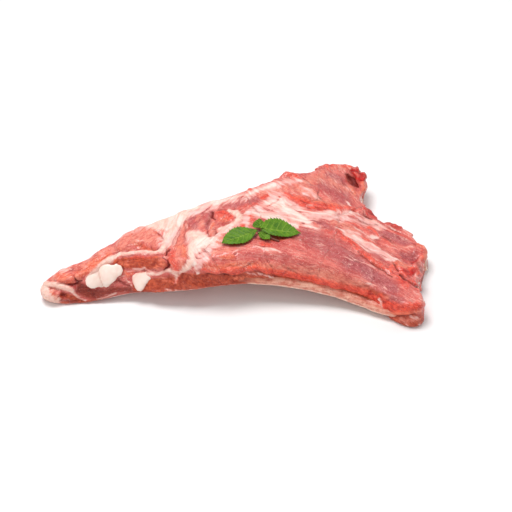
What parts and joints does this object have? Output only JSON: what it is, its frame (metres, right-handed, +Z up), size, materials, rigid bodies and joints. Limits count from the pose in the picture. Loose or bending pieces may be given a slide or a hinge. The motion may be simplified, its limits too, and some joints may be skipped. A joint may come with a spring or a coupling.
{
  "type": "raw rack of pork ribs",
  "caption": "Raw arched rack of pork ribs with fan of rib bones, cartilage at the narrow cut end and a mint sprig on top.",
  "frame": {"origin": "centre of the base, on the surface the rack lies on", "axes": "+X runs along the ribs from the narrow breastbone end to the wide backbone end, +Y away from the long near edge, +Z up"},
  "size_m": [0.3307, 0.1907, 0.0564],
  "materials": {
    "raw_meat": "wet raw muscle and fat",
    "bone_and_cartilage": "smooth damp bone and cartilage",
    "mint_leaf": "matte crinkled leaf",
    "mint_stem": "matte thin stalk"
  },
  "bodies": {
    "root": {"meat": "raw_meat", "rib_1": "bone_and_cartilage", "rib_2": "bone_and_cartilage", "rib_3": "bone_and_cartilage", "rib_4": "bone_and_cartilage", "rib_5": "bone_and_cartilage", "leaf_right": "mint_leaf", "leaf_left": "mint_leaf", "leaf_bud": "mint_leaf", "leaf_low": "mint_leaf", "sprig_stem": "mint_stem"}
  },
  "joints": []
}
